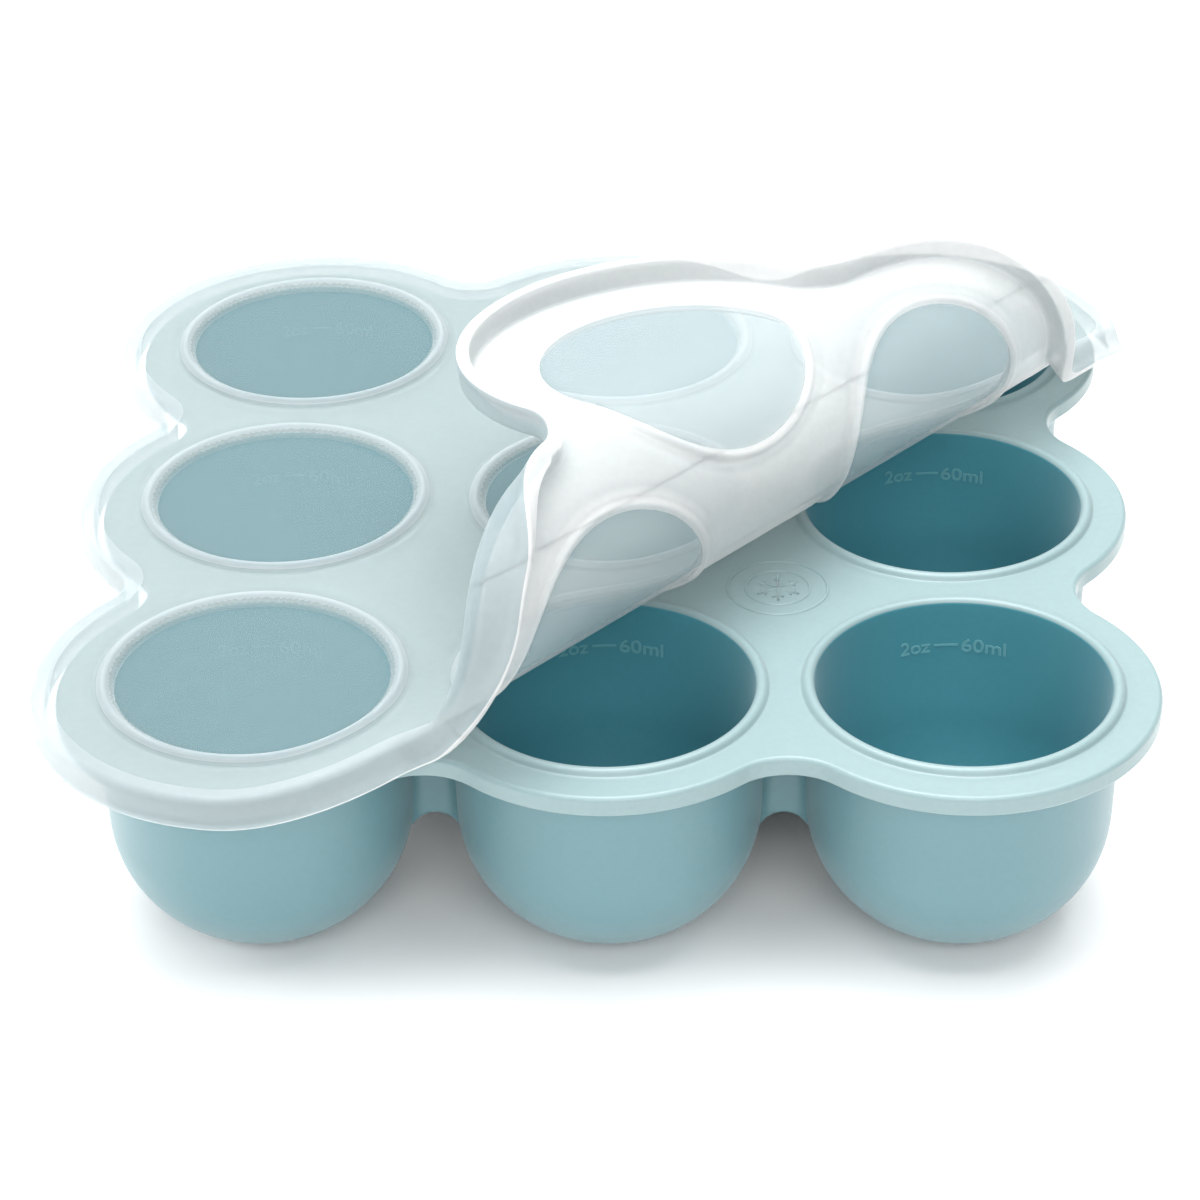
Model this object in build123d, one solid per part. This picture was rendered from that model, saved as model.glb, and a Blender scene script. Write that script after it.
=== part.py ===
"""Nine-cup freezer tray for baby food, with a press-on lid peeled up from its front right corner.

Millimetres. The tray stands on z = 0, the origin is under its centre, x runs to the right
and y to the back. The tray is one soft moulding, built here as nine cups, the deck that
joins their mouths and the webs under it. The lid is another, built as the sheet that is
still seated, its skirt, two lengths of the bend and the corner that is folded back.
"""
import os
from math import atan2, cos, degrees, radians, sin, sqrt, tan

from build123d import *

# ---- tray
cup_pitch = 62.0        # centre to centre, both ways
cups_per_side = 3
tray_height = 49.3      # feet to the crest of the mouth beads
mouth_radius = 25.9     # inside of a cup at the deck
wall = 1.75
draft = 1.22            # degrees, cups widen upwards
foot_radius = 2.75      # flat that each cup stands on
bead_width = 2.2        # bead round each mouth, half as high as wide
bead_flat = 0.8         # its flat crest
flange_drop = 4.9       # crest of the beads to the underside of the deck
lobe_radius = 34.5      # edge of the deck round each outer cup
notch_radius = 11.6     # concave round between two lobes
edge_bevel = 0.5
web_thickness = 2.0
web_drop = 28.0         # crest of the beads to the web's lower edge, mid span
web_arch = 2.0          # rise of that edge between two cups

# ---- lid
lid_gap = 0.1           # bead crest to the underside of the sheet
sheet = 1.2
skirt_drop = 4.7        # bead crest to the lower edge of the skirt
skirt_gap = 0.3         # edge of the deck to the inside of the skirt
skirt_wall = 2.3
lid_bevel = 0.9
window_radius = 24.8
window_sheet = 0.8
ring_width = 2.4        # ring round each window, half as high as wide

# ---- peeled corner: the sheet rolls up as a very slender cone
fold_turn = -42.4       # degrees, direction in which the lid is peeled open, from +x
fold_start = 17.0       # from the tray's centre to the line where the sheet leaves the tray
fold_tip = 1420.0       # from there to the cone's tip, far behind the back right corner
ease_angle = 35.0       # gentle first arc
ease_radius = 32.3
roll_angle = 151.8      # tight second arc
roll_radius = 18.2

# ---- mark on the deck, between four cups
mark_outer = 9.2
mark_inner = 5.9
mark_line = 0.7
mark_height = 0.3

# ---- beads inside the skirt, on the middle lobe of each side
lip_depth = 0.25
lip_height = 1.2
lip_span = 76.0         # degrees of the lobe

pad = 300.0             # larger than the part, for cutting tools

bead_radius = bead_width / 2
bead_shape = [
    (bead_radius, 0),
    (bead_flat / 2, bead_radius),
    (-bead_flat / 2, bead_radius),
    (-bead_radius, 0),
]
deck_top = tray_height - bead_radius
deck_bottom = tray_height - flange_drop
collar_radius = mouth_radius + bead_width
ring_grow = ring_width / bead_width
row = [(i - (cups_per_side - 1) / 2) * cup_pitch for i in range(cups_per_side)]
centres = [(x, y) for y in row for x in row]
names_y = ["front", "middle", "back"]
names_x = ["left", "centre", "right"]


def lobed_face(extra):
    """Face of the deck's outline, grown outwards by extra."""
    lobe = lobe_radius + extra
    notch = notch_radius - extra
    out = sqrt((lobe + notch) ** 2 - (cup_pitch / 2) ** 2)
    side = row[-1]
    face = Rectangle(2 * side, 2 * side)
    for x, y in centres:
        face += Pos(x, y) * Circle(lobe)
    for turn in (0, 90, 180, 270):
        for k in range(cups_per_side - 1):
            a = (row[k], -side)
            b = (row[k + 1], -side)
            c = ((row[k] + row[k + 1]) / 2, -side - out)
            corner = make_face(Polyline(a, b, c, close=True))
            face += Rot(0, 0, turn) * corner
    for turn in (0, 90, 180, 270):
        for k in range(cups_per_side - 1):
            x = (row[k] + row[k + 1]) / 2
            face -= Rot(0, 0, turn) * Pos(x, -side - out) * Circle(notch)
    return face


def cup_arc():
    """Radius of the round bottom, tangent to the foot and to the drafted wall."""
    d = radians(draft)
    base = mouth_radius + wall - tan(d) * deck_top
    return (base - foot_radius) / (cos(d) - tan(d) * (1 - sin(d)))


def cup_shell():
    """One cup: drafted wall, round bottom with a small flat foot, collar and bead."""
    d = radians(draft)
    rho = cup_arc()
    mid = radians(-45)
    outer = [(foot_radius + rho * cos(a), rho + rho * sin(a)) for a in (-d, mid)]
    hole = rho - wall
    inner = [(foot_radius + hole * cos(a), rho + hole * sin(a)) for a in (-d, mid)]
    neck = mouth_radius + wall - tan(d) * (deck_top - deck_bottom)
    edges = [
        Line((0, 0), (foot_radius, 0)),
        ThreePointArc((foot_radius, 0), outer[1], outer[0]),
        Line(outer[0], (neck, deck_bottom)),
        Line((neck, deck_bottom), (collar_radius, deck_bottom)),
        Line((collar_radius, deck_bottom), (collar_radius, deck_top)),
        Polyline(*[(mouth_radius + bead_radius + a, deck_top + b) for a, b in bead_shape]),
        Line((mouth_radius, deck_top), inner[0]),
        ThreePointArc(inner[0], inner[1], (foot_radius, wall)),
        Line((foot_radius, wall), (0, wall)),
        Line((0, wall), (0, 0)),
    ]
    return revolve(Plane.XZ * make_face(edges), Axis.Z)


def cup_plug():
    """Solid inside of the cup's outer surface, for trimming the webs."""
    d = radians(draft)
    rho = cup_arc()
    a = (foot_radius + rho * cos(-d), rho + rho * sin(-d))
    b = (foot_radius + rho * cos(radians(-45)), rho + rho * sin(radians(-45)))
    neck = mouth_radius + wall - tan(d) * (deck_top - deck_bottom)
    edges = [
        Line((0, 0), (foot_radius, 0)),
        ThreePointArc((foot_radius, 0), b, a),
        Line(a, (neck, deck_bottom)),
        Line((neck, deck_bottom), (0, deck_bottom)),
        Line((0, deck_bottom), (0, 0)),
    ]
    return revolve(Plane.XZ * make_face(edges), Axis.Z)


def deck():
    """Lobed plate with a hole round each collar, and the mark between four cups."""
    plate = Pos(0, 0, deck_bottom) * extrude(lobed_face(0), deck_top - deck_bottom)
    rims = plate.edges().group_by(Axis.Z)
    plate = chamfer(rims[0] + rims[-1], edge_bevel)
    for x, y in centres:
        plate -= Pos(x, y, deck_bottom - 1) * extrude(Circle(collar_radius), flange_drop + 1)
    ring = Circle(mark_outer) - Circle(mark_outer - mark_line)
    ring += Circle(mark_inner) - Circle(mark_inner - mark_line)
    for turn in (0, 60, 120):
        ring += Rot(0, 0, turn) * Rectangle(2 * (mark_inner - 2 * mark_line), mark_line)
    spot = Pos(cup_pitch / 2, -cup_pitch / 2, deck_top)
    return plate + spot * extrude(ring, mark_height)


def web():
    """Upright plate between two cups, trimmed to both, with an arched lower edge."""
    half = cup_pitch / 2 - mouth_radius - wall
    reach = half + 2.0
    low = tray_height - web_drop
    foot = low - web_arch * (reach / half) ** 2
    edges = [
        Line((-reach, deck_bottom), (reach, deck_bottom)),
        Line((reach, deck_bottom), (reach, foot)),
        ThreePointArc((reach, foot), (0, low), (-reach, foot)),
        Line((-reach, foot), (-reach, deck_bottom)),
    ]
    plate = extrude(Plane.XZ * make_face(edges), web_thickness / 2, both=True)
    plug = cup_plug()
    plate -= Pos(-cup_pitch / 2, 0) * plug
    plate -= Pos(cup_pitch / 2, 0) * plug
    return plate


def webs():
    """The webs between all neighbouring cups."""
    one = web()
    parts = []
    for turn in (0, 90):
        for y in row:
            for k in range(cups_per_side - 1):
                x = (row[k] + row[k + 1]) / 2
                parts.append(Rot(0, 0, turn) * Pos(x, y) * one)
    return Compound(children=[part.solid() for part in parts])


def snap_bead():
    """Low bead inside the skirt of a lobe that faces +x, from the skirt's lower edge up."""
    inside = lobe_radius + skirt_gap
    ring = Circle(inside + skirt_wall / 2) - Circle(inside - lip_depth)
    half = radians(lip_span / 2)
    far = 2 * inside
    wedge = make_face(Polyline((0, 0), (far, -far * tan(half)), (far, far * tan(half)), close=True))
    return extrude(ring & wedge, lip_height)


def flat_lid():
    """The whole lid lying flat on the tray."""
    under = tray_height + lid_gap
    top = under + sheet
    low = tray_height - skirt_drop
    lid = Pos(0, 0, low) * extrude(lobed_face(skirt_gap + skirt_wall), top - low)
    rims = lid.edges().group_by(Axis.Z)
    lid = chamfer(rims[-1], lid_bevel)
    lid -= Pos(0, 0, low - 1) * extrude(lobed_face(skirt_gap), under - low + 1)
    ring_middle = window_radius + ring_width / 2
    edge = [(ring_middle + a * ring_grow, top + b * ring_grow) for a, b in bead_shape]
    bead = revolve(Plane.XZ * make_face(Polyline(*edge, close=True)), Axis.Z)
    recess = Pos(0, 0, under + window_sheet) * extrude(Circle(window_radius), sheet)
    for x, y in centres:
        lid += Pos(x, y) * bead
        lid -= Pos(x, y) * recess
    for turn in (0, 90, 180, 270):
        lid += Rot(0, 0, turn) * Pos(row[-1], 0, low) * snap_bead()
    return lid


# ---- the bend: rays run from the cone's tip, runs go across them
across = Vector(cos(radians(fold_turn)), sin(radians(fold_turn)), 0)
along = Vector(-sin(radians(fold_turn)), cos(radians(fold_turn)), 0)
up = Vector(0, 0, 1)
neutral = tray_height + lid_gap + sheet / 2
tip = across * fold_start + along * fold_tip + up * neutral
ease_length = ease_radius * radians(ease_angle)
roll_length = roll_radius * radians(roll_angle)
bend_length = ease_length + roll_length


def flat_frame(run):
    """Ray and tangent on the flat sheet at a distance past the fold's start."""
    turn = run / fold_tip
    ray = along * -cos(turn) + across * sin(turn)
    return ray, across * cos(turn) + along * sin(turn)


def bent_frame(run):
    """Ray, tangent and normal of the rolled sheet at the same distance."""
    ray, tangent, normal = along * -1, across, up
    for length, radius in ((ease_length, ease_radius), (roll_length, roll_radius)):
        part = min(max(run, 0), length)
        run -= length
        curl = fold_tip / radius
        pole = Axis((0, 0, 0), normal + ray * curl)
        angle = degrees(part / fold_tip * sqrt(1 + curl**2))
        ray, tangent, normal = [v.rotate(pole, angle) for v in (ray, tangent, normal)]
    return ray, tangent, normal


def chord(face, run):
    """Nearest and farthest distance from the tip at which a face meets the ray at run."""
    ray = flat_frame(run)[0]
    flat_tip = Vector(tip.X, tip.Y, 0)
    line = Edge.make_line(flat_tip + ray * (fold_tip - pad), flat_tip + ray * (fold_tip + pad))
    cut = face.intersect(line)
    far = [(Vector(*v) - flat_tip).dot(ray) for e in cut.edges() for v in e.vertices()]
    return min(far), max(far)


def section(run, outer, inner):
    """Cross-section of sheet and skirt on the ray at a distance past the fold's start."""
    ray, tangent, normal = bent_frame(run)
    a, b = [far - fold_tip for far in chord(outer, run)]
    c, d = [far - fold_tip for far in chord(inner, run)]
    top = sheet / 2
    low = tray_height - skirt_drop - neutral
    points = [(a, low), (c, low), (c, -top), (d, -top), (d, low), (b, low), (b, top), (a, top)]
    plane = Plane(tip + ray * fold_tip, x_dir=ray, z_dir=tangent * -1)
    return plane * make_face(Polyline(*points, close=True))


def bend(first, last, count):
    """A length of the bend between two distances past the fold's start."""
    outer = lobed_face(skirt_gap + skirt_wall)
    inner = lobed_face(skirt_gap)
    runs = [first + (last - first) * k / count for k in range(count + 1)]
    return loft([section(run, outer, inner) for run in runs], ruled=True)


def beyond(run, sign):
    """Block over everything on one side of the ray at run, on the flat lid."""
    ray, tangent = flat_frame(run)
    edge = tip + ray * fold_tip + tangent * (sign * pad / 2)
    turn = degrees(atan2(tangent.Y, tangent.X))
    return Pos(edge.X, edge.Y, 0) * Rot(0, 0, turn) * Box(pad, 2 * pad, 2 * pad)


def folded(part, run):
    """A part of the flat lid carried rigidly to where the roll has it at run."""
    ray, tangent = flat_frame(run)
    start = Plane(tip, x_dir=ray, z_dir=tangent * -1)
    ray, tangent, normal = bent_frame(run)
    end = Plane(tip, x_dir=ray, z_dir=tangent * -1)
    return end.location * start.location.inverse() * part


os.makedirs("parts", exist_ok=True)

shell = cup_shell()
for j, back in enumerate(names_y):
    for i, side in enumerate(names_x):
        export_step(Pos(row[i], row[j]) * shell, f"parts/cup_{back}_{side}.step")
export_step(deck(), "parts/tray_deck.step")
export_step(webs(), "parts/tray_webs.step")

lid = flat_lid()
seated = lid & beyond(0, -1)
below = Pos(0, 0, tray_height + lid_gap - pad / 2) * Box(pad, pad, pad)
export_step(seated - below, "parts/lid_seated.step")
export_step(seated & below, "parts/lid_skirt.step")

halfway = ease_length + roll_radius * radians(90 - ease_angle)
export_step(bend(0, halfway, 20), "parts/lid_bend_lower.step")
export_step(bend(halfway, bend_length, 16), "parts/lid_bend_upper.step")
export_step(folded(lid & beyond(bend_length, 1), bend_length), "parts/lid_corner.step")
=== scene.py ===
"""Looks of the nine-cup freezer tray: silicone tray, frosted lid rolled up at its front right corner."""
import math

import bmesh
import bpy
import numpy as np
from mathutils import Matrix, Vector
from mathutils.geometry import delaunay_2d_cdt


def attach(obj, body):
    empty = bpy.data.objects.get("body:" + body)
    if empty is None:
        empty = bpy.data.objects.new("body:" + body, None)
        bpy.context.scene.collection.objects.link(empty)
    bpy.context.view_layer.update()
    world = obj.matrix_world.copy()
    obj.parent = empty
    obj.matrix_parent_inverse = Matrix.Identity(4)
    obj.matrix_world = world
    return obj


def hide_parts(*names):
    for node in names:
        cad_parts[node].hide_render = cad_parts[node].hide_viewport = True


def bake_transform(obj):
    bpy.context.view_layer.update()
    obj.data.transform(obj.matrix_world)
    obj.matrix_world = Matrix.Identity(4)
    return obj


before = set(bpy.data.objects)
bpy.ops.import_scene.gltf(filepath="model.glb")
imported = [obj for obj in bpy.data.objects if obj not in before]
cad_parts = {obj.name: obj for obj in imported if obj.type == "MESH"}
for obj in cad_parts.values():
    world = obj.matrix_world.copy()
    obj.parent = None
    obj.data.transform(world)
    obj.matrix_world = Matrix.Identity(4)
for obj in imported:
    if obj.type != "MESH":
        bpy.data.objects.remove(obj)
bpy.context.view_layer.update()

MM = 0.001

# Sizes in millimetres. x and y start at the tray's centre, and w is the height above the mouth beads' crests.
PITCH = 62.0  # from cup to cup
HEIGHT = 49.3  # from the feet to the crest of the beads
MOUTH = 25.9  # inner radius of a cup at the deck
WALL = 1.75
DRAFT = math.radians(1.22)  # taper of a cup's wall
FOOT = 2.75  # radius of the flat that a cup stands on
BEAD = 1.1  # radius of the bead round a mouth
BEAD_FILLET = 0.4  # at the bead's foot
COLLAR = 29.4  # radius at which a cup's mesh ends and the deck's begins
DECK_TOP = -1.1
DECK_LOW = -4.9
DECK_FILLET = 1.2  # between the deck's underside and a cup
DECK_ROUND_TOP = 0.9  # radius of the deck's edge above
DECK_ROUND_LOW = 0.7  # and below
LOBE = 34.5  # radius of the deck's edge round an outer cup
NOTCH = 11.6  # radius of the hollow between two lobes
CENTRES = [(PITCH * i, PITCH * j) for j in (-1, 0, 1) for i in (-1, 0, 1)]
COLUMNS = ("left", "centre", "right")
CUP_NAMES = [f"{row}_{column}" for row in ("front", "middle", "back") for column in COLUMNS]


# ---------------------------------------------------------------- meshes
def new_object(name, points, faces, materials, body=None, normals=None, slots=None):
    """A mesh piece from points in millimetres above the feet's plane, riding on the body if one is given."""
    mesh = bpy.data.meshes.new(name)
    mesh.from_pydata((np.asarray(points) * MM).tolist(), [], [list(map(int, f)) for f in faces])
    mesh.polygons.foreach_set("use_smooth", [True] * len(mesh.polygons))
    for m in materials:
        mesh.materials.append(m)
    if slots is not None:
        mesh.polygons.foreach_set("material_index", np.asarray(slots, np.int32))
    mesh.update()
    if normals is not None:
        mesh.normals_split_custom_set_from_vertices(np.asarray(normals).tolist())
    made = bpy.data.objects.new(name, mesh)
    bpy.context.scene.collection.objects.link(made)
    if body:
        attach(made, body)
    return made


def arc(cx, cy, r, a0, a1, n):
    """n points on an arc of radius r round (cx, cy), from a0 to a1 degrees."""
    t = np.radians(np.linspace(a0, a1, n))
    return [(cx + r * math.cos(a), cy + r * math.sin(a)) for a in t]


def straight(start, end, n):
    """The n points after the start on a straight line to the end."""
    return [tuple(a + (b - a) * (k / n) for a, b in zip(start, end)) for k in range(1, n + 1)]


def circle(count):
    """Unit directions all the way round, counter-clockwise."""
    t = np.linspace(0, 2 * math.pi, count, endpoint=False)
    return np.column_stack([np.cos(t), np.sin(t)])


def strip(a, b, count):
    """Faces between two closed loops of points, whose first points are a and b."""
    return [(a + i, b + i, b + (i + 1) % count, a + (i + 1) % count) for i in range(count)]


def loop_edges(first, count):
    """Edges of a closed loop of points."""
    return [(first + i, first + (i + 1) % count) for i in range(count)]


def joined(parts):
    """Several pairs of points and faces as one pair."""
    points, faces, start = [], [], 0
    for part_points, part_faces in parts:
        points.append(part_points)
        faces += [tuple(start + i for i in f) for f in part_faces]
        start += len(part_points)
    return np.concatenate(points), faces


def spin(profile, count, closed=False):
    """Points and faces of a profile of (radius, height) turned round z; a closed one ends on the axis."""
    rings = profile[:-1] if closed else profile
    points = [np.column_stack([circle(count) * r, np.full(count, z)]) for r, z in rings]
    faces = []
    for k in range(len(rings) - 1):
        faces += strip(k * count, (k + 1) * count, count)
    if closed:
        tip = len(rings) * count
        points.append([(0, 0, profile[-1][1])])
        faces += [(a, tip, b) for a, b in loop_edges(tip - count, count)]
    return np.concatenate(points), faces


def outline(step):
    """Points of the deck's lobed edge, counter-clockwise, about a step apart, and the directions outwards."""
    out = math.sqrt((LOBE + NOTCH) ** 2 - (PITCH / 2) ** 2)  # from a row's centre line to a hollow's centre
    phi = math.atan2(out, PITCH / 2)
    # the outer cups, in pitches
    walk = [(-1, -1), (0, -1), (1, -1), (1, 0), (1, 1), (0, 1), (-1, 1), (-1, 0)]
    points, away = [], []

    def add(centre, radius, t0, t1):
        """An arc from t0 to t1: a lobe, or where the radius is negative a hollow."""
        n = max(8, int(abs(radius * (t1 - t0)) / step))
        t = np.linspace(t0, t1, n, endpoint=False)
        unit = np.column_stack([np.cos(t), np.sin(t)])
        points.append(centre + radius * unit)
        away.append(unit)

    for k in range(len(walk)):
        before, cup, after = (np.array(walk[(k + s) % len(walk)], float) for s in (-1, 0, 1))
        came, goes = cup - before, after - cup
        first = -came * math.cos(phi) + np.array([came[1], -came[0]]) * math.sin(phi)
        last = goes * math.cos(phi) + np.array([goes[1], -goes[0]]) * math.sin(phi)
        t0 = math.atan2(first[1], first[0])
        t1 = math.atan2(last[1], last[0])
        t1 += 2 * math.pi * (t1 < t0)
        add(cup * PITCH, LOBE, t0, t1)
        side = np.array([goes[1], -goes[0]])
        add((cup + after) / 2 * PITCH + side * out, -NOTCH, t1, t1 - (math.pi - 2 * phi))
    return np.concatenate(points), np.concatenate(away)


def inside(points, loop):
    """Which points lie inside a closed loop."""
    x, y = points[:, 0], points[:, 1]
    hit = np.zeros(len(points), bool)
    for (ax, ay), (bx, by) in zip(loop, np.roll(loop, -1, axis=0)):
        cross = (ay > y) != (by > y)
        if abs(by - ay) > 1e-12:
            hit ^= cross & (x < (bx - ax) * (y - ay) / (by - ay) + ax)
    return hit


def near_cup(points):
    """Distance to the nearest cup's centre line."""
    gaps = [np.hypot(points[:, 0] - x, points[:, 1] - y) for x, y in CENTRES]
    return np.min(gaps, axis=0)


def triangulate(points, edges, wanted):
    """Triangles over the points that keep to the edges and whose middles are wanted."""
    got = delaunay_2d_cdt([Vector(p) for p in points.tolist()], edges, [], 0, 1e-7)
    back = [src[0] if src else -1 for src in got[3]]
    if min(back) < 0 or len(back) != len(points):
        raise RuntimeError("the triangulation moved points")
    tris = [tuple(back[i] for i in f) for f in got[2]]
    good = wanted(points[np.array(tris)].mean(axis=1))
    return [t for t, ok in zip(tris, good) if ok]


def vertex_normals(points, faces):
    """Smooth normals of a mesh."""
    mesh = bpy.data.meshes.new("scratch")
    mesh.from_pydata(points.tolist(), [], faces)
    mesh.update()
    normals = np.array([v.normal for v in mesh.vertices])
    bpy.data.meshes.remove(mesh)
    return normals


# ---------------------------------------------------------------- materials
GRAIN_DEPTH = 0.0002  # metres
MOTTLE = 0.02  # how much darker and lighter the colour gets


def material(name, colour, roughness):
    """A plain material and its shader."""
    made = bpy.data.materials.new(name)
    made.use_nodes = True
    shader = made.node_tree.nodes["Principled BSDF"]
    shader.inputs["Base Color"].default_value = (*colour, 1)
    shader.inputs["Roughness"].default_value = roughness
    return made, shader


def grain(made, shader, scale, strength, detail):
    """Fine moulded unevenness as bump, on the object's own coordinates; gives its noise."""
    tree = made.node_tree
    place = tree.nodes.new("ShaderNodeTexCoord")
    noise = tree.nodes.new("ShaderNodeTexNoise")
    noise.inputs["Scale"].default_value = scale
    noise.inputs["Detail"].default_value = detail
    bump = tree.nodes.new("ShaderNodeBump")
    bump.inputs["Strength"].default_value = strength
    bump.inputs["Distance"].default_value = GRAIN_DEPTH
    tree.links.new(place.outputs["Object"], noise.inputs["Vector"])
    tree.links.new(noise.outputs["Fac"], bump.inputs["Height"])
    tree.links.new(bump.outputs["Normal"], shader.inputs["Normal"])
    return noise


def mottle(made, shader, noise, colour):
    """Slight unevenness of colour from the same noise."""
    ramp = made.node_tree.nodes.new("ShaderNodeValToRGB")
    for stop, position, factor in zip(ramp.color_ramp.elements, (0.3, 0.7), (1 - MOTTLE, 1 + MOTTLE)):
        stop.position = position
        stop.color = (*[factor * c for c in colour], 1)
    made.node_tree.links.new(noise.outputs["Fac"], ramp.inputs["Fac"])
    made.node_tree.links.new(ramp.outputs["Color"], shader.inputs["Base Color"])


def silicone(name, colour, roughness, scale=900, strength=0.08, detail=3):
    """Matt moulded rubber: faintly uneven in height and in colour."""
    made, shader = material(name, colour, roughness)
    noise = grain(made, shader, scale, strength, detail)
    mottle(made, shader, noise, colour)
    return made, shader


def glow(shader, weight, radius, scale):
    """Light that enters, spreads and comes out again beside the spot."""
    shader.inputs["Subsurface Weight"].default_value = weight
    shader.inputs["Subsurface Radius"].default_value = radius
    shader.inputs["Subsurface Scale"].default_value = scale


def teal(name, colour):
    """The tray's opaque silicone."""
    made, shader = silicone(name, colour, 0.42)
    glow(shader, 0.15, (0.5, 0.9, 1.0), 0.002)
    shader.inputs["Specular IOR Level"].default_value = 0.6
    shader.inputs["Sheen Weight"].default_value = 0.15
    shader.inputs["Sheen Roughness"].default_value = 0.5
    return made


def gloss_by_coat(shader, weight, roughness):
    """Gloss of a see-through sheet: a coat, because the base's own gloss speckles in the windows."""
    shader.inputs["Specular IOR Level"].default_value = 0
    shader.inputs["Coat Weight"].default_value = weight
    shader.inputs["Coat Roughness"].default_value = roughness


def frosted(name, colour, alpha):
    """The lid's sheet: part clear, the rest glowing softly from within."""
    made, shader = silicone(name, colour, 0.4, 700, 0.06)
    glow(shader, 0.8, (1, 1, 1), 0.003)
    gloss_by_coat(shader, 0.3, 0.4)
    shader.inputs["Alpha"].default_value = alpha
    return made


def pane(name, colour, alpha):
    """The thin clear sheet of a window."""
    made, shader = silicone(name, colour, 0.3, 260, 0.01, 2)
    gloss_by_coat(shader, 0.5, 0.3)
    shader.inputs["Alpha"].default_value = alpha
    return made


tray_skin = teal("tray_silicone", (0.098, 0.21, 0.235))
# the deck's top is a paler copy of the tray's silicone: painted light, the sheen of the lamps on the flat top
deck_painted_light_skin = teal("tray_deck_top_painted_light", (0.198, 0.285, 0.295))
# the cups' insides are a darker, deeper teal copy of the silicone: painted shade of the hollows
well_painted_shade_skin = teal("tray_cup_inside_painted_shade", (0.057, 0.237, 0.287))
# the raised fill marks are lighter than the cup's inside they stand on: painted highlight
letter_painted_highlight_skin = teal("tray_letters_painted_highlight", (0.12, 0.33, 0.37))
# the lid is one frosted silicone in six copies; its top is darker and teal-tinged: painted shade, tinted by
# the teal tray beneath
lid_top_painted_shade_skin = frosted("lid_silicone", (0.205, 0.295, 0.307), 0.42)
# its underside is near white: painted light, for the brightly lit flap that is rolled up and shows this side
under_painted_light_skin = frosted("lid_underside_painted_light", (0.65, 0.64, 0.635), 0.5)
# the skirt's outside, the top's edge and the ring round each window are lighter than the top: partly the
# whiter look of thicker silicone, partly painted light
rim_thick_and_lit_skin = frosted("lid_rim_thick_and_lit", (0.28, 0.34, 0.355), 0.6)
# the skirt's inside is near white: painted light, where it shows on the lit flap
lip_painted_light_skin = frosted("lid_lip_painted_light", (0.58, 0.585, 0.585), 0.6)
# the windows' tops are dark teal: painted shade, the shaded cups seen through them
window_painted_shade_skin = pane("lid_window", (0.03, 0.19, 0.225), 0.3)
# the windows' undersides are near white: painted light, the lit windows of the rolled flap
pane_painted_light_skin = pane("lid_window_underside_painted_light", (0.55, 0.57, 0.575), 0.35)

floor_skin, floor_shader = material("floor", (0.97, 0.97, 0.97), 0.6)
floor_shader.inputs["Specular IOR Level"].default_value = 0.2

# ---------------------------------------------------------------- cups
TURN = 160  # points round a cup
TOP_STRIPS = 18  # strips of the inner profile in the deck's paler colour, painted light: the collar, and the bead past its crest
TRAY_SKINS = [tray_skin, deck_painted_light_skin, well_painted_shade_skin]


def cup_profiles():
    """Inner and outer profile of a cup as (radius, height above the feet)."""
    slope = math.tan(DRAFT)
    top = HEIGHT + DECK_TOP
    base = MOUTH + WALL - slope * top  # the outer wall's line, carried down to the feet's plane
    outer_round = (base - FOOT) / (math.cos(DRAFT) - slope * (1 - math.sin(DRAFT)))
    inner_round = outer_round - WALL
    low = -math.degrees(DRAFT)

    def bottom(radius):
        """The round bottom, from where the wall runs into it."""
        return arc(FOOT, outer_round, radius, low, -90, 26)

    bead_foot = MOUTH + 2 * BEAD + BEAD_FILLET
    inner = [(COLLAR, top), (bead_foot + BEAD_FILLET, top)]
    inner += arc(bead_foot, top + BEAD_FILLET, BEAD_FILLET, -90, -160, 5)[1:]
    inner += arc(MOUTH + BEAD, top, BEAD, 22, 180, 15)
    inner += straight((MOUTH, top), bottom(inner_round)[0], 12)
    inner += bottom(inner_round)[1:]
    inner.append((0, WALL))

    neck_z = HEIGHT + DECK_LOW - DECK_FILLET
    neck = MOUTH + WALL - slope * (top - neck_z)
    outer = [(COLLAR, HEIGHT + DECK_LOW)]
    outer += arc(neck + DECK_FILLET, neck_z, DECK_FILLET, 90, 180, 7)
    outer += straight((neck, neck_z), bottom(outer_round)[0], 10)
    outer += bottom(outer_round)[1:]
    outer.append((0, 0))
    return inner, outer


def cup_mesh():
    """Points, faces, normals and slots of a cup at the origin."""
    inner, outer = cup_profiles()
    well_points, well_faces = spin(inner, TURN, closed=True)
    shell_points, shell_faces = spin(outer, TURN, closed=True)
    well_faces = [tuple(reversed(f)) for f in well_faces]
    points, faces = joined([(well_points, well_faces), (shell_points, shell_faces)])
    normals = vertex_normals(points, faces)
    # where a cup meets the deck, both have the deck's normals, so that no seam shows
    meeting = np.abs(np.hypot(points[:, 0], points[:, 1]) - COLLAR) < 1e-4
    below = points[:, 2] < HEIGHT + DECK_LOW + 0.1
    normals[meeting] = [0, 0, 1]
    normals[meeting & below] = [0, 0, -1]
    # inside, the collar and the bead's top take the deck's paler colour, painted light, and the rest the
    # darker inside colour, painted shade; the outside keeps the silicone's own colour
    top = TOP_STRIPS * TURN
    return points, faces, normals, [1] * top + [2] * (len(well_faces) - top) + [0] * len(shell_faces)


cup_points, cup_faces, cup_normals, cup_slots = cup_mesh()
for cup_name, (x, y) in zip(CUP_NAMES, CENTRES):
    cup = new_object(
        f"soft_cup_{cup_name}", cup_points + (x, y, 0), cup_faces, TRAY_SKINS, "tray", cup_normals, cup_slots
    )
    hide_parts(f"cup_{cup_name}")


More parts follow.
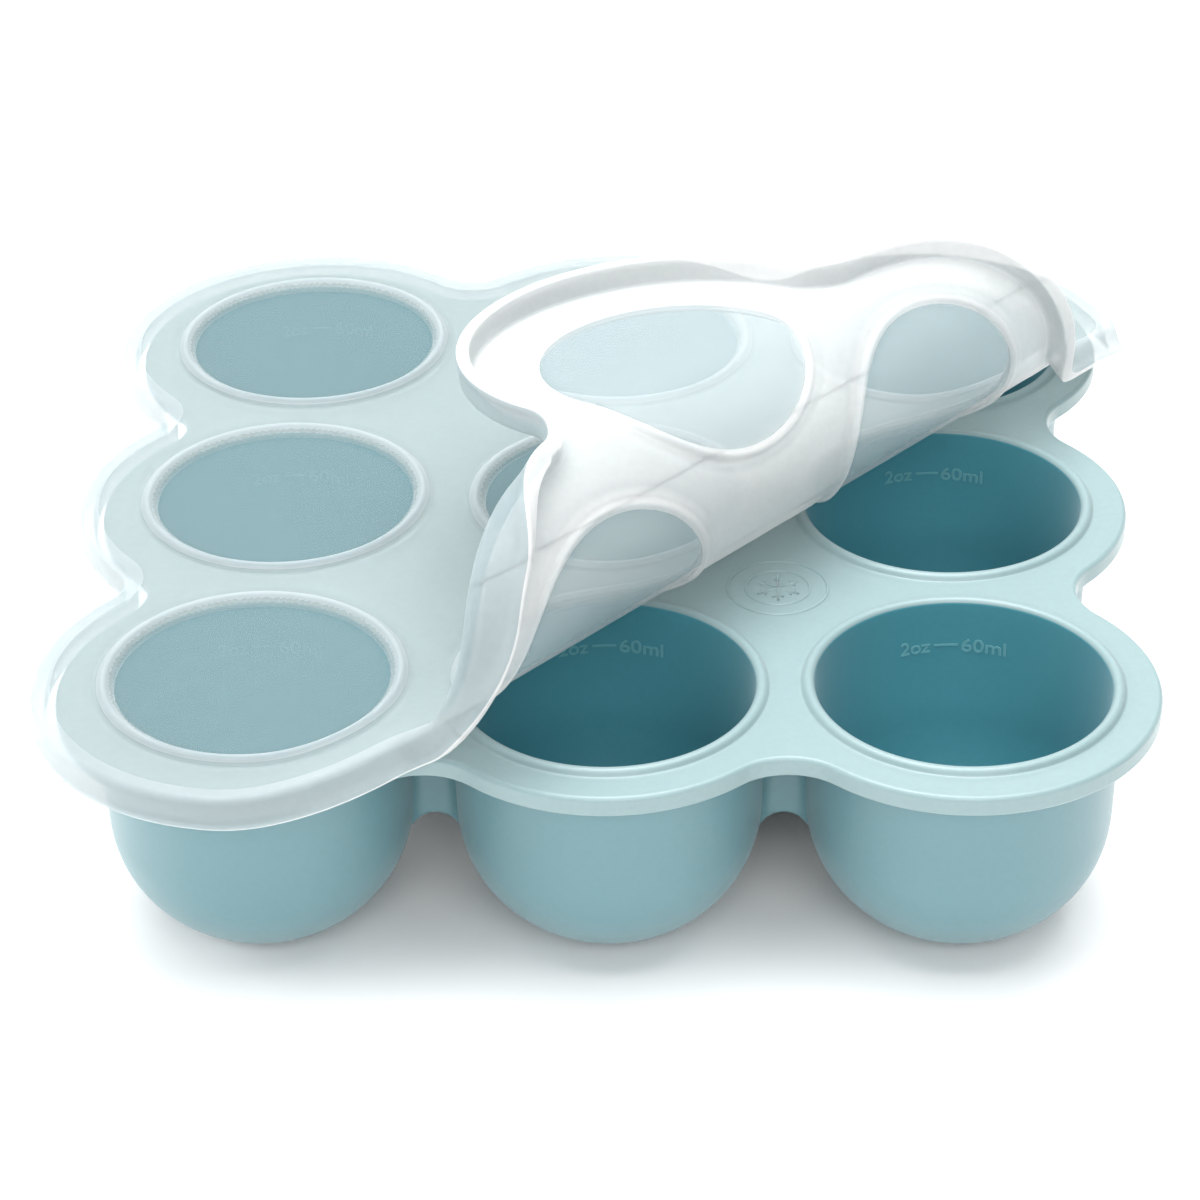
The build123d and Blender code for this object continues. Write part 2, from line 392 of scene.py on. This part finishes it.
# ---------------------------------------------------------------- deck
def deck_mesh():
    """Points, faces, normals and slots of the deck: a plate with nine holes and a rounded lobed edge."""
    edge, away = outline(1.6)
    count = len(edge)
    plan = [edge - away * DECK_ROUND_TOP]
    lines = loop_edges(0, count)
    for k, centre in enumerate(CENTRES):
        lines += loop_edges(count + k * TURN, TURN)
        plan.append(circle(TURN) * COLLAR + centre)
    plan = np.concatenate(plan)
    total = len(plan)
    tris = triangulate(plan, lines, lambda p: inside(p, plan[:count]) & (near_cup(p) > COLLAR - 0.02))

    # the edge from above to below: distance past the outline, w, and the direction that it faces
    rim = arc(-DECK_ROUND_TOP, DECK_TOP - DECK_ROUND_TOP, DECK_ROUND_TOP, 90, 0, 7)[1:]
    rim += [(0, DECK_TOP - DECK_ROUND_TOP - 1)]
    rim += arc(-DECK_ROUND_LOW, DECK_LOW + DECK_ROUND_LOW, DECK_ROUND_LOW, 0, -90, 6)
    facing = np.radians([*np.linspace(90, 0, 7)[1:], 0, *np.linspace(0, -90, 6)])

    points = [np.column_stack([plan, np.full(total, DECK_TOP)])]
    normals = [np.tile([0.0, 0.0, 1.0], (total, 1))]
    for (out, w), t in zip(rim, facing):
        points.append(np.column_stack([edge + away * out, np.full(count, w)]))
        normals.append(np.column_stack([away * math.cos(t), np.full(count, math.sin(t))]))
    plan_below = plan.copy()
    plan_below[:count] = edge - away * DECK_ROUND_LOW
    points.append(np.column_stack([plan_below, np.full(total, DECK_LOW)]))
    normals.append(np.tile([0.0, 0.0, -1.0], (total, 1)))

    starts = [0] + [total + k * count for k in range(len(rim))]
    faces = list(tris)
    for a, b in zip(starts[:-1], starts[1:]):
        faces += strip(a, b, count)
    upper = len(faces)
    low = total + len(rim) * count
    faces += [tuple(low + i for i in reversed(t)) for t in tris]
    faces += strip(starts[-1], low, count)
    points = np.concatenate(points) + (0, 0, HEIGHT)
    return points, faces, np.concatenate(normals), [1] * upper + [0] * (len(faces) - upper)


# the deck's top and rounded edge take the paler colour, painted light; its underside keeps the silicone's own
# colour
points, faces, normals, slots = deck_mesh()
deck = new_object("soft_deck", points, faces, [tray_skin, deck_painted_light_skin], "tray", normals, slots)
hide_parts("tray_deck")

# ---------------------------------------------------------------- mark on the deck
# between four cups: two raised rings round a plain six-armed star
MARK_AT = (30.4, -30.1)
MARK_RINGS = (9.1, 5.8)
RING_HALF, RING_HIGH = 0.3, 0.28
ARM, ARM_WIDE, ARM_HIGH = 4.3, 0.5, 0.24
TWIG, TWIG_WIDE, TWIG_HIGH = 1.2, 0.42, 0.22
TWIG_FROM = 2.4  # along the arm
TWIG_TURN = math.radians(50)
SUNK = 0.02  # how far a raised line reaches into what carries it
OVER = np.radians(np.linspace(0, 180, 7))  # from one side of a raised line over its top to the other


def bar(start, end, width, height):
    """A raised line with a rounded top from one point to another."""
    ahead = (end - start) / np.hypot(*(end - start))
    side = np.array([-ahead[1], ahead[0]])
    points = []
    for place in (start, end):
        for a in OVER:
            points.append((*(place + side * math.cos(a) * width / 2), math.sin(a) * height - SUNK))
    n = len(OVER)
    faces = [(i, i + 1, i + n + 1, i + n) for i in range(n - 1)]
    faces += [tuple(range(n)), tuple(reversed(range(n, 2 * n)))]
    return np.array(points), faces


def towards(angle, far):
    """The way from the origin to a point at an angle and a distance."""
    return np.array([far * math.cos(angle), far * math.sin(angle)])


def deck_mark():
    """Points and faces of the whole mark at the origin."""
    parts = []
    for r in MARK_RINGS:
        parts.append(spin([(r + RING_HALF * math.cos(a), RING_HIGH * math.sin(a) - SUNK) for a in OVER], 120))
    for k in range(6):
        angle = math.radians(60 * k + 30)
        parts.append(bar(np.zeros(2), towards(angle, ARM), ARM_WIDE, ARM_HIGH))
        fork = towards(angle, TWIG_FROM)
        for turn in (-TWIG_TURN, TWIG_TURN):
            parts.append(bar(fork, fork + towards(angle + turn, TWIG), TWIG_WIDE, TWIG_HIGH))
    return joined(parts)


points, faces = deck_mark()
# the mark takes the deck top's paler colour, painted light
mark = new_object("deck_mark", points + (*MARK_AT, HEIGHT + DECK_TOP), faces, [deck_painted_light_skin], "tray")

# ---------------------------------------------------------------- webs
WEB_DROP = 28.0  # from the crest of the beads to the web's foot, mid span
WEB_ARCH = 2.2  # how much lower its foot is at the cups
WEB_HALF = 1.0  # half its thickness, mid span
WEB_PLAIN = 0.45  # share of the span that has this thickness
WEB_FLARE = 1.3 / 0.3  # how fast it widens from there to the cups
WEB_ROOT = 0.8  # how much wider each side is at the deck
WEB_SUNK = 0.3  # how far it reaches into the cups' walls
WEB_COLUMNS = 13  # sections from one end to the other


def web_mesh():
    """A web along x at the origin: an upright blade with a round foot, from one cup's wall to the next."""
    rings = []
    for c in range(WEB_COLUMNS):
        u = 2 * c / (WEB_COLUMNS - 1) - 1
        flare = WEB_HALF + WEB_FLARE * max(0.0, abs(u) - WEB_PLAIN) ** 2
        foot = -WEB_DROP - WEB_ARCH * u * u

        def reach(w):
            """x of this column's points at a height, following the cups' taper."""
            return u * (PITCH / 2 - MOUTH - WALL + math.tan(DRAFT) * (DECK_TOP - w) + WEB_SUNK)

        top = DECK_LOW + 0.1
        side = [(reach(top), flare + WEB_ROOT, top)]
        side += [(reach(w), flare, w) for w in np.linspace(-9, foot + WEB_HALF + 0.4, 6)]
        under = []
        for a in np.radians(np.linspace(0, 180, 9)):
            under.append((reach(foot), flare * math.cos(a), foot + WEB_HALF * (1 - math.sin(a))))
        rings.append(side + under + [(x, -y, w) for x, y, w in reversed(side)])
    wide = len(rings[0])
    faces = []
    for c in range(WEB_COLUMNS - 1):
        for i in range(wide - 1):
            a = c * wide + i
            faces.append((a, a + wide, a + wide + 1, a + 1))
    return np.concatenate(rings), faces


def all_webs():
    """The twelve webs: six along x, and the same six turned to y."""
    points, faces = web_mesh()
    parts = []
    for turned in (False, True):
        for row in (-1, 0, 1):
            for half_way in (-0.5, 0.5):
                placed = points + (half_way * PITCH, row * PITCH, HEIGHT)
                if turned:
                    placed = placed[:, [1, 0, 2]] * [-1, 1, 1]
                parts.append((placed, faces))
    return joined(parts)


webs = new_object("soft_webs", *all_webs(), [tray_skin], "tray")
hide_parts("tray_webs")

# ---------------------------------------------------------------- fill marks
FILL_W = -9.45  # the graduations' centre line
DIGIT = 2.7  # height of a digit
FONT_DIGIT = 0.73  # the same in the built-in font, at size 1
RAISED = 0.16  # how far the characters stand out of the wall


def words(text, x0, x1):
    """Raised characters as x, y, z and faces, fitted between x0 and x1 round y = 0; z > 0 is their front."""
    curve = bpy.data.curves.new("words", "FONT")
    curve.body = text
    curve.extrude = 0.05
    curve.bevel_depth = 0.012
    curve.bevel_resolution = 1
    holder = bpy.data.objects.new("words", curve)
    bpy.context.scene.collection.objects.link(holder)
    bpy.context.view_layer.update()
    mesh = bpy.data.meshes.new_from_object(holder)
    co = np.array([v.co for v in mesh.vertices])
    faces = [tuple(p.vertices) for p in mesh.polygons]
    bpy.data.objects.remove(holder)
    bpy.data.curves.remove(curve)
    bpy.data.meshes.remove(mesh)
    low, high = co.min(axis=0), co.max(axis=0)
    x = x0 + (co[:, 0] - low[0]) / (high[0] - low[0]) * (x1 - x0)
    y = co[:, 1] / FONT_DIGIT * DIGIT - DIGIT / 2
    return x, y, co[:, 2], faces


def dash(x0, x1):
    """A raised line from x0 to x1, in the same form: its front and its two long sides."""
    rows = 8
    corners = [(x, y, z) for x in np.linspace(x0, x1, rows) for y in (-0.2, 0.2) for z in (-0.06, 0.06)]
    faces = []
    for a in range(0, 4 * (rows - 1), 4):
        faces += [(a + 1, a + 5, a + 7, a + 3), (a, a + 1, a + 5, a + 4), (a + 2, a + 6, a + 7, a + 3)]
    return (*np.array(corners).T, faces)


def fill_mark():
    """Two graduations joined by a line, raised on the far wall of a cup at the origin."""
    parts = []
    for x, y, z, faces in (words("2oz", -9.7, -4.1), words("60ml", 1.6, 9.8), dash(-3.4, 1.0)):
        w = FILL_W + y
        wall = MOUTH + SUNK + math.tan(DRAFT) * (w - DECK_TOP)
        r = wall - RAISED * (z > 0)
        angle = math.pi / 2 - x / wall
        parts.append((np.column_stack([r * np.cos(angle), r * np.sin(angle), w + HEIGHT]), faces))
    return joined(parts)


points, faces = fill_mark()
for cup_name, (x, y) in zip(CUP_NAMES, CENTRES):
    # in the lighter colour of the marks: painted highlight
    mark = new_object(f"fill_mark_{cup_name}", points + (x, y, 0), faces, [letter_painted_highlight_skin], "tray")
    mark.data.polygons.foreach_set("use_smooth", [False] * len(mark.data.polygons))

# ---------------------------------------------------------------- the lid, flat
UNDER = 0.1  # w of the sheet's underside
SHEET = 1.2
SKIRT_OUT = 2.6  # from the deck's edge to the skirt's outside
SKIRT_GAP = 0.3  # from the deck's edge to the skirt's inside
SKIRT_LOW = -4.7
LID_ROUND = 1.5  # radius of the lid's edge above
LID_ROUND_LOW = 0.6  # radius of the corner between underside and skirt
LID_EDGE = SKIRT_OUT - LID_ROUND  # where the flat top ends, past the deck's edge
# rings of the sheet round a window: radius of the middle, half the width, height or depth
TOP_RING = (26.0, 1.4, 0.8)
TOP_GROOVE = (28.1, 1.0, 0.22)
SEAL_RING = (25.1, 1.3, 0.65)  # hangs inside the cup's mouth
LOW_GROOVE = (27.9, 1.4, 0.2)
# the thinner sheet of a window: radius where it ends, width of the slope beyond, depth
TOP_WINDOW = (24.1, 0.7, 0.42)
LOW_WINDOW = (23.6, 0.7, 0.15)
# where the colours of the windows end (dark teal above, painted shade; near white below, painted light), and
# where the raised ring's lighter colour (thicker silicone and painted light) ends
TOP_WINDOW_END, LOW_WINDOW_END = 24.3, 24.0
TOP_RING_START, TOP_RING_END = 24.9, 27.1
# the bead inside the skirt, on the middle lobe of each side
SNAP_HALF = 38  # half its span, in degrees of the lobe
SNAP_HIGH = 0.5
SNAP_TOP = -3.2
SNAP_PAST = 1.3  # the skirt's points nearer to the deck than this carry it
# how the rim gives way where it is bent, with the runs past the fold line over which each comes and goes
SWELL_ALL = 1.5  # the skirt stands this much further out all round
SWELL_BENT, SWELL_RUNS = 3.0, (6, 22, 41, 60)  # front lobes
LEAN_FRONT, PULL_RUNS = 52, (25, 42, 47, 60)  # degrees
LEAN_RIGHT, LEAN_RIGHT_RUNS = 8, (0, 14, 70, 90)
LEAN_BACK, LEAN_BACK_RUN = 6, 14
LEAN_DEPTH = 2.6  # below the sheet's top the lean is whole
STRETCH = 0.5  # of the pulled skirt

# the fold: the sheet is rolled on a very slender cone, through two arcs of (radius, angle)
FOLD_TURN = math.radians(-42.4)  # direction in which the lid is peeled open, from +x
FOLD_START = 17.0  # from the tray's centre to the line where the sheet leaves the tray
APEX_FAR = 1420.0  # from there to the cone's tip, far behind the back right corner
ARCS = [(32.3, math.radians(35.0)), (18.2, math.radians(151.8))]
NEUTRAL = UNDER + SHEET / 2  # w of the sheet's middle, which keeps its length
FOLD_END = 165  # no point of the lid lies further past the fold line
across = np.array([math.cos(FOLD_TURN), math.sin(FOLD_TURN)])
along = np.array([-math.sin(FOLD_TURN), math.cos(FOLD_TURN)])
apex = across * FOLD_START + along * APEX_FAR


def smooth(t):
    """Rises from 0 to 1 with t, without a kink at either end."""
    t = np.clip(t, 0, 1)
    return t * t * (3 - 2 * t)


def band(run, a, b, c, d):
    """Rises from 0 to 1 between a and b and falls again between c and d."""
    return smooth((run - a) / (b - a)) * (1 - smooth((run - c) / (d - c)))


def ring(r, middle, half, high):
    """A rounded ridge."""
    off = (r - middle) / half
    return high * np.where(np.abs(off) < 1, np.cos(off * math.pi / 2) ** 2, 0)


def groove(r, middle, half, deep):
    """A rounded hollow."""
    return deep * (1 - smooth(np.abs(r - middle) / half))


def window(r, end, slope, deep):
    """The hollow of a window, whole up to its end."""
    return deep * (1 - smooth((r - end) / slope))


def lid_top(r):
    """w of the lid's upper side at a distance from a cup's centre."""
    return UNDER + SHEET - window(r, *TOP_WINDOW) + ring(r, *TOP_RING) - groove(r, *TOP_GROOVE)


def lid_low(r):
    """w of its underside."""
    return UNDER + window(r, *LOW_WINDOW) - ring(r, *SEAL_RING) + groove(r, *LOW_GROOVE)


edge, away = outline(1.5)
count = len(edge)


def lid_plan():
    """Points and triangles of the lid from above; the first two loops are the edges of top and underside."""
    underside_in = 0.9
    ring_turn = 132
    rings = (
        24.1, 24.45, 24.8, 25.1, 25.4, 25.7, 26.0, 26.3,
        26.6, 26.9, 27.2, 27.55, 27.95, 28.35, 28.7, 29.8,
    )
    column, row = 2.1, 1.82  # of the even grid between the rings
    parts = [edge + away * LID_EDGE, edge - away * underside_in]
    for centre in CENTRES:
        parts += [circle(ring_turn) * r + centre for r in rings]
    grid = np.array([(column * (a + b % 2 / 2), row * b) for b in range(-66, 67) for a in range(-60, 61)])
    r = near_cup(grid)
    clear = (r < rings[0] - 0.9) | (r > rings[-1] + 1.1)
    parts.append(grid[clear & inside(grid, edge - away * (underside_in + 1.1))])
    plan = np.concatenate(parts)
    lines = loop_edges(0, count) + loop_edges(count, count)
    return plan, triangulate(plan, lines, lambda p: inside(p, plan[:count]))


def skirt_profile():
    """The skirt from the flat top's edge round to the underside: distance past the deck's edge, and w."""
    profile = arc(LID_EDGE, UNDER + SHEET - LID_ROUND, LID_ROUND, 90, 0, 9)[1:]
    profile += [(SKIRT_OUT, w) for w in (-1.2, -2.2, -3.2)]
    profile += [(SKIRT_OUT + 0.12, -3.45), (SKIRT_OUT + 0.15, -3.9)]  # the hem is slightly thicker
    profile += arc(SKIRT_OUT - 0.35, SKIRT_LOW + 0.5, 0.5, 0, -90, 5)
    profile += [(1.4, SKIRT_LOW)]
    profile += arc(0.75, SKIRT_LOW + 0.4, 0.4, -90, -180, 4)
    profile += [(SKIRT_GAP + 0.02, -3.0), (SKIRT_GAP, -1.8)]
    profile += arc(SKIRT_GAP - LID_ROUND_LOW, UNDER - LID_ROUND_LOW, LID_ROUND_LOW, 0, 90, 5)
    return profile


OUTER_STRIPS = 15  # strips of the skirt's profile that face outwards


def on_snap_bead():
    """1 where a point of the edge is on the middle lobe of a side, within the bead's span, else 0."""
    on_bead = np.zeros(count)
    for x, y in [(0, -PITCH), (PITCH, 0), (0, PITCH), (-PITCH, 0)]:
        q = edge - (x, y)
        off = np.degrees(np.abs(np.arctan2(q[:, 0] * y - q[:, 1] * x, q @ (x, y))))
        on_bead = np.maximum(on_bead, (np.hypot(q[:, 0], q[:, 1]) < LOBE + 0.1) & (off < SNAP_HALF))
    return on_bead


def lid_points(plan, profile):
    """Points of the flat lid: its top, the skirt's loops, its underside."""
    run = (edge - apex) @ across / (-(edge - apex) @ along) * APEX_FAR
    front = (edge[:, 0] < PITCH / 2 + 1) & (edge[:, 1] < -PITCH / 2)
    right_side = edge[:, 0] > PITCH / 2
    middle_right = right_side & (np.abs(edge[:, 1]) < PITCH / 2)
    back_right = right_side & (edge[:, 1] > PITCH / 2)
    swell = SWELL_ALL + SWELL_BENT * front * band(run, *SWELL_RUNS)
    pull = front * band(run, *PULL_RUNS)
    lean = LEAN_FRONT * pull + LEAN_RIGHT * middle_right * band(run, *LEAN_RIGHT_RUNS)
    lean = -np.radians(lean + LEAN_BACK * back_right * smooth(run / LEAN_BACK_RUN))
    on_bead = on_snap_bead()

    r = near_cup(plan)
    swollen = plan.copy()
    swollen[:count] += away * swell[:, None]
    swollen[count:2 * count] += away * swell[:, None]
    points = [np.column_stack([swollen, lid_top(r)])]
    for out, w in profile:
        out = out - SNAP_HIGH * on_bead * (out < SNAP_PAST) * (w < SNAP_TOP)
        turn = lean * smooth((UNDER + SHEET - w) / LEAN_DEPTH)
        fall = (w - UNDER) * (1 + STRETCH * pull * (w < UNDER))
        past = swell + SKIRT_GAP + (out - SKIRT_GAP) * np.cos(turn) - fall * np.sin(turn)
        rise = UNDER + (out - SKIRT_GAP) * np.sin(turn) + fall * np.cos(turn)
        points.append(np.column_stack([edge + away * past[:, None], rise]))
    points.append(np.column_stack([swollen, lid_low(r)]))
    return np.concatenate(points)


# the six slots: tops darker and teal, painted shade; the underside and the skirt's inside near white, painted
# light; the rim between, partly thicker silicone and partly painted light
SHEET_TOP, SHEET_LOW, RIM, WINDOW_TOP, WINDOW_LOW, LIP = range(6)
LID_SKINS = [lid_top_painted_shade_skin, under_painted_light_skin, rim_thick_and_lit_skin, window_painted_shade_skin, pane_painted_light_skin, lip_painted_light_skin]


def skin_above(face, r):
    """Slot of a face of the top, with its middle's distance from a cup's centre."""
    if r < TOP_WINDOW_END:
        return WINDOW_TOP
    if min(face) < count or TOP_RING_START < r < TOP_RING_END:
        return RIM
    return SHEET_TOP


def flat_lid():
    """Points, faces and slots of the whole lid before it is rolled."""
    plan, tris = lid_plan()
    profile = skirt_profile()
    points = lid_points(plan, profile)
    radii = near_cup(plan[np.array(tris)].mean(axis=1))
    slots = [skin_above(t, r) for t, r in zip(tris, radii)]
    faces = list(tris)
    low = len(plan) + len(profile) * count
    starts = [0] + [len(plan) + k * count for k in range(len(profile))] + [low + count]
    for k in range(len(starts) - 1):
        faces += strip(starts[k], starts[k + 1], count)
        # the skirt's outer faces take the rim's colour and its inner faces the near-white lip colour, painted
        # light
        slots += [RIM if k < OUTER_STRIPS else LIP] * count
    # the underside has no outermost loop: the skirt ends on the next one
    for t, r in zip(tris, radii):
        if min(t) >= count:
            faces.append(tuple(low + i for i in reversed(t)))
            slots.append(WINDOW_LOW if r < LOW_WINDOW_END else SHEET_LOW)
    return points, faces, slots


# ---------------------------------------------------------------- the lid, rolled
def fold_frames():
    """Frames of the sheet at runs past the fold line: ray to the cone's tip, tangent and normal."""
    runs = np.linspace(0, FOLD_END, 10 * FOLD_END + 1)
    rows = []
    for run in runs:
        f = np.array([[-along[0], -along[1], 0], [across[0], across[1], 0], [0, 0, 1]], float)
        for radius, angle in ARCS + [(1e9, 1.0)]:  # beyond the arcs the sheet is as good as flat
            part = min(run, radius * angle)
            run -= part
            curl = APEX_FAR / radius
            pole = Vector(f[2] + f[0] * curl)
            turn = Matrix.Rotation(part / APEX_FAR * math.sqrt(1 + curl * curl), 3, pole)
            f = f @ np.array(turn).T
        rows.append(f.ravel())
    return runs, np.array(rows)


RUNS, FRAMES = fold_frames()


def run_of(p):
    """Distance of points past the fold line, and from the cone's tip."""
    q = p[:, :2] - apex
    return np.arctan2(q @ across, -(q @ along)) * APEX_FAR, np.hypot(q[:, 0], q[:, 1])


def fold(p):
    """Where points of the flat lid lie on the rolled one."""
    run, far = run_of(p)
    run_there = np.clip(run, 0, RUNS[-1])
    row = np.column_stack([np.interp(run_there, RUNS, FRAMES[:, k]) for k in range(9)])
    ray, normal = row[:, 0:3], row[:, 6:9]
    ray = ray / np.linalg.norm(ray, axis=1)[:, None]
    normal = normal / np.linalg.norm(normal, axis=1)[:, None]
    at = np.array([apex[0], apex[1], NEUTRAL]) + ray * far[:, None]
    at = at + normal * (p[:, 2] - NEUTRAL)[:, None]
    seated = run <= 0
    at[seated] = p[seated]
    return at


def run_at(turned):
    """Distance past the fold line at which the sheet has turned by an angle."""
    run = 0.0
    for radius, angle in ARCS:
        part = min(turned, angle)
        run += radius * part
        turned -= part
    return run


# the lid is cut where a third and two thirds of the bend are behind it, so that each piece crosses one hinge
BEND = sum(angle for radius, angle in ARCS)
CUTS = [round(run_at(BEND * k / 3), 3) for k in (1, 2)]
BEND_END = 68.0


def cut_lid():
    """The flat lid cut along the two rulings: points, their normals, faces, slots."""
    points, faces, slots = flat_lid()
    bm = bmesh.new()
    verts = [bm.verts.new(p) for p in points.tolist()]
    for f in faces:
        bm.faces.new([verts[i] for i in f])
    bm.normal_update()
    layer = bm.faces.layers.int.new("skin")
    bm.faces.ensure_lookup_table()
    for face, slot in zip(bm.faces, slots):
        face[layer] = slot
    for cut in CUTS:
        psi = cut / APEX_FAR
        normal = math.sin(psi) * along + math.cos(psi) * across
        bmesh.ops.bisect_plane(
            bm,
            geom=bm.verts[:] + bm.edges[:] + bm.faces[:],
            dist=1e-5,
            plane_co=(*apex, 0),
            plane_no=(*normal, 0),
        )
    bm.normal_update()
    points = np.array([v.co for v in bm.verts])
    normals = np.array([v.normal for v in bm.verts])
    bm.verts.index_update()
    cells = [[v.index for v in f.verts] for f in bm.faces]
    slots = np.array([f[layer] for f in bm.faces])
    bm.free()
    return points, normals, cells, slots


def rolled_normals(points, normals):
    """Normals after the fold, from where two small steps along the surface go."""
    step = 0.02
    steep = np.abs(normals[:, 2:3]) > 0.7
    helper = np.where(steep, np.array([[1.0, 0, 0]]), np.array([[0, 0, 1.0]]))
    first = np.cross(normals, helper)
    first /= np.linalg.norm(first, axis=1)[:, None]
    second = np.cross(normals, first)
    moved = [fold(points + t * step) - fold(points - t * step) for t in (first, second)]
    bent = np.cross(*moved)
    return bent / np.linalg.norm(bent, axis=1)[:, None]


def sheet_at(run, shift=0.0):
    """Point of the rolled sheet on its middle line, moved along its slope, in metres."""
    psi = run / APEX_FAR
    spot = apex + APEX_FAR * (math.sin(psi) * across - math.cos(psi) * along)
    slope = np.array([np.interp(run, RUNS, FRAMES[:, k]) for k in range(3, 6)])
    return tuple((fold(np.array([[*spot, NEUTRAL]]))[0] + slope * shift + [0, 0, HEIGHT]) * MM)


BLEND_GAP = 1.5  # from a cut to the turn on either side of it
LID_PIECES = [
    # name, the two bodies on either side of it (not used: the piece rides on no body here), the CAD nodes
    # that it stands for, and its runs past the fold line
    ("soft_lid_seated", ("lid", "bend_lower"), ["lid_seated", "lid_skirt", "lid_bend_lower"], -1e9, CUTS[0]),
    ("soft_lid_roll", ("bend_lower", "bend_upper"), ["lid_bend_upper"], CUTS[0], CUTS[1]),
    ("soft_lid_corner", ("bend_upper", "corner"), ["lid_corner"], CUTS[1], 1e9),
]
TURNS_BETWEEN = [
    (sheet_at(0.0), sheet_at(CUTS[0], -BLEND_GAP)),
    (sheet_at(CUTS[0], BLEND_GAP), sheet_at(CUTS[1], -BLEND_GAP)),
    (sheet_at(CUTS[1], BLEND_GAP), sheet_at(BEND_END)),
]

flat, flat_normals, cells, slots = cut_lid()
normals = rolled_normals(flat, flat_normals)
points = fold(flat) + (0, 0, HEIGHT)
middle_run = run_of(np.array([flat[c].mean(axis=0) for c in cells]))[0]
for (name, bodies, stands_for, after, until), (start, end) in zip(LID_PIECES, TURNS_BETWEEN):
    chosen = [k for k in range(len(cells)) if after < middle_run[k] <= until]
    used = sorted({i for k in chosen for i in cells[k]})
    new = {i: k for k, i in enumerate(used)}
    faces = [[new[i] for i in cells[k]] for k in chosen]
    piece = new_object(name, points[used], faces, LID_SKINS, normals=normals[used], slots=slots[chosen])
    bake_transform(piece)
    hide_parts(*stands_for)

# ---------------------------------------------------------------- floor, light, camera (metres)
FLOOR = 3.0  # half its side
FLOOR_DROP = 0.0002  # how far it is below the feet
IMAGE = 1200  # pixels, the square picture's side
FOCAL = 3622.3  # focal length in those pixels
SENSOR = 36  # millimetres

mesh = bpy.data.meshes.new("floor")
corners = [(-FLOOR, -FLOOR, 0), (FLOOR, -FLOOR, 0), (FLOOR, FLOOR, 0), (-FLOOR, FLOOR, 0)]
mesh.from_pydata(corners, [], [(0, 1, 2, 3)])
mesh.materials.append(floor_skin)
floor = bpy.data.objects.new("floor", mesh)
bpy.context.scene.collection.objects.link(floor)
floor.location.z = -FLOOR_DROP

world = bpy.data.worlds.new("studio")
world.use_nodes = True
world.node_tree.nodes["Background"].inputs["Color"].default_value = (1, 1, 1, 1)
world.node_tree.nodes["Background"].inputs["Strength"].default_value = 0.4
bpy.context.scene.world = world


def softbox(name, at, wide, high, power):
    """A rectangular soft light that faces the object."""
    light = bpy.data.lights.new(name, "AREA")
    light.shape = "RECTANGLE"
    light.size = wide
    light.size_y = high
    light.energy = power
    lamp = bpy.data.objects.new(name, light)
    bpy.context.scene.collection.objects.link(lamp)
    lamp.location = at
    lamp.rotation_mode = "QUATERNION"
    lamp.rotation_quaternion = (Vector((0, 0, 0.03)) - Vector(at)).to_track_quat("-Z", "Y")


softbox("top", (0, 0, 1.2), 1.2, 1.2, 24)
softbox("spot", (-0.1, 0.25, 1.2), 0.6, 0.6, 7)
softbox("back", (0, 1.4, 0.8), 1.6, 0.8, 5)
softbox("left", (-1.4, 0.1, 0.6), 1.2, 0.8, 11)
softbox("front", (0.1, -1.3, 0.9), 1.4, 0.6, 13)

camera = bpy.data.objects.new("camera", bpy.data.cameras.new("camera"))
bpy.context.scene.collection.objects.link(camera)
camera.data.sensor_width = SENSOR
camera.data.lens = FOCAL / IMAGE * SENSOR
camera.data.clip_start = 0.01
camera.data.clip_end = 20
# the camera's own axes, and its place
right = Vector((0.99968, 0.0200313, -0.0154518))
upward = Vector((0.0024377, 0.5316684, 0.8469491))
back = Vector((0.0251807, -0.8467157, 0.5314494))
view = Matrix((right, upward, back)).transposed().to_4x4()
view.translation = Vector((0.0146546, -0.589533, 0.3968159))
camera.matrix_world = view
bpy.context.scene.camera = camera
bpy.context.scene.view_settings.view_transform = "Standard"
